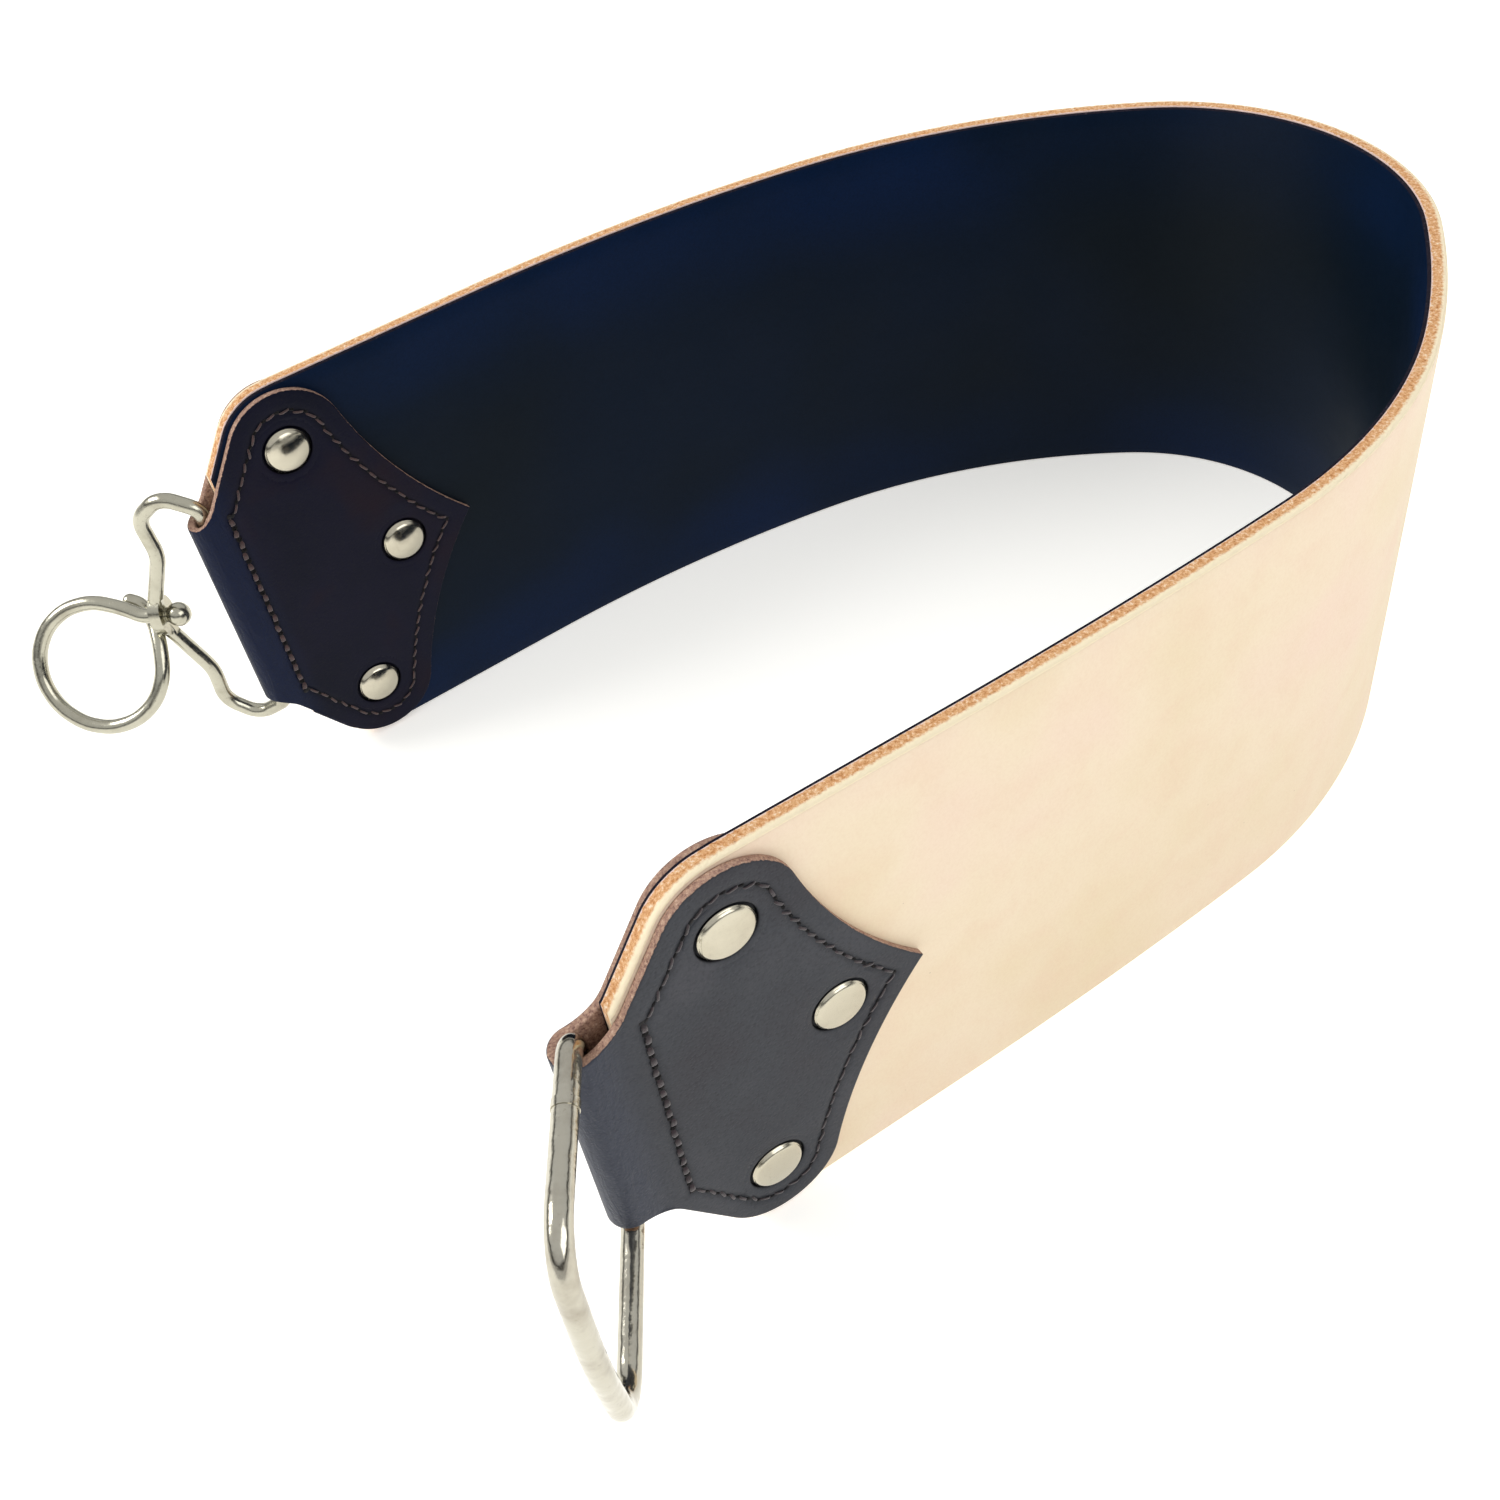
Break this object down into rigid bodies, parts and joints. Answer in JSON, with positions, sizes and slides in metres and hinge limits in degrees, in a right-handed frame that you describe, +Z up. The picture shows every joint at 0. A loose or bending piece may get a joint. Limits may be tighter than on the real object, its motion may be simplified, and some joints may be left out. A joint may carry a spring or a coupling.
{
  "type": "leather strop",
  "caption": "Hanging leather strop standing on its long edge in an open bow, with riveted folded caps, a hand ring at one end and a swivelling hook eye at the other.",
  "frame": {"origin": "centre of the whole strop's box, on the surface that it stands on", "axes": "+Z up, across the strop's width; +X towards the closed end of the bow; +Y from the hand ring's arm towards the hook's arm"},
  "size_m": [0.2424, 0.2025, 0.075],
  "materials": {
    "natural_leather": "smooth natural vegetable-tanned grain, tan fibrous cut edges",
    "facing_leather": "smooth near-black satin",
    "cap_leather": "fine-grained satin charcoal, raw pinkish-brown cut edges",
    "thread": "waxed dark brown thread",
    "rivet_metal": "bright nickel plate",
    "ring_metal": "bright nickel plate",
    "hook_metal": "nickel plate, slightly duller and warmer"
  },
  "bodies": {
    "strop": {"strop_leather": "natural_leather", "strop_facing": "facing_leather", "hand_cap": "cap_leather", "hook_cap": "cap_leather", "hand_outer_stitching": "thread", "hand_inner_stitching": "thread", "hand_rivet_post_1": "rivet_metal", "hand_rivet_cap_1": "rivet_metal", "hand_rivet_post_2": "rivet_metal", "hand_rivet_cap_2": "rivet_metal", "hand_rivet_post_3": "rivet_metal", "hand_rivet_cap_3": "rivet_metal", "hook_outer_stitching": "thread", "hook_inner_stitching": "thread", "hook_rivet_post_1": "rivet_metal", "hook_rivet_cap_1": "rivet_metal", "hook_rivet_post_2": "rivet_metal", "hook_rivet_cap_2": "rivet_metal", "hook_rivet_post_3": "rivet_metal", "hook_rivet_cap_3": "rivet_metal"},
    "hand_ring": {"hand_ring": "ring_metal"},
    "hook_yoke": {"hook_yoke": "hook_metal"},
    "swivel_eye": {"swivel_eye": "hook_metal"}
  },
  "joints": [
    {"name": "hand_ring_swing", "type": "hinge", "parent": "strop", "child": "hand_ring", "pos_m": [-0.02317, -0.07079, 0.0375], "axis": [0, 0, 1], "range_deg": [-165, 52]},
    {"name": "hook_swing", "type": "hinge", "parent": "strop", "child": "hook_yoke", "pos_m": [-0.0814, 0.04173, 0.0375], "axis": [0, 0, 1], "range_deg": [-48, 122]},
    {"name": "eye_swivel", "type": "hinge", "parent": "hook_yoke", "child": "swivel_eye", "pos_m": [-0.09606, 0.04378, 0.0375], "axis": [-0.9903, 0.1392, 0], "continuous": true}
  ]
}
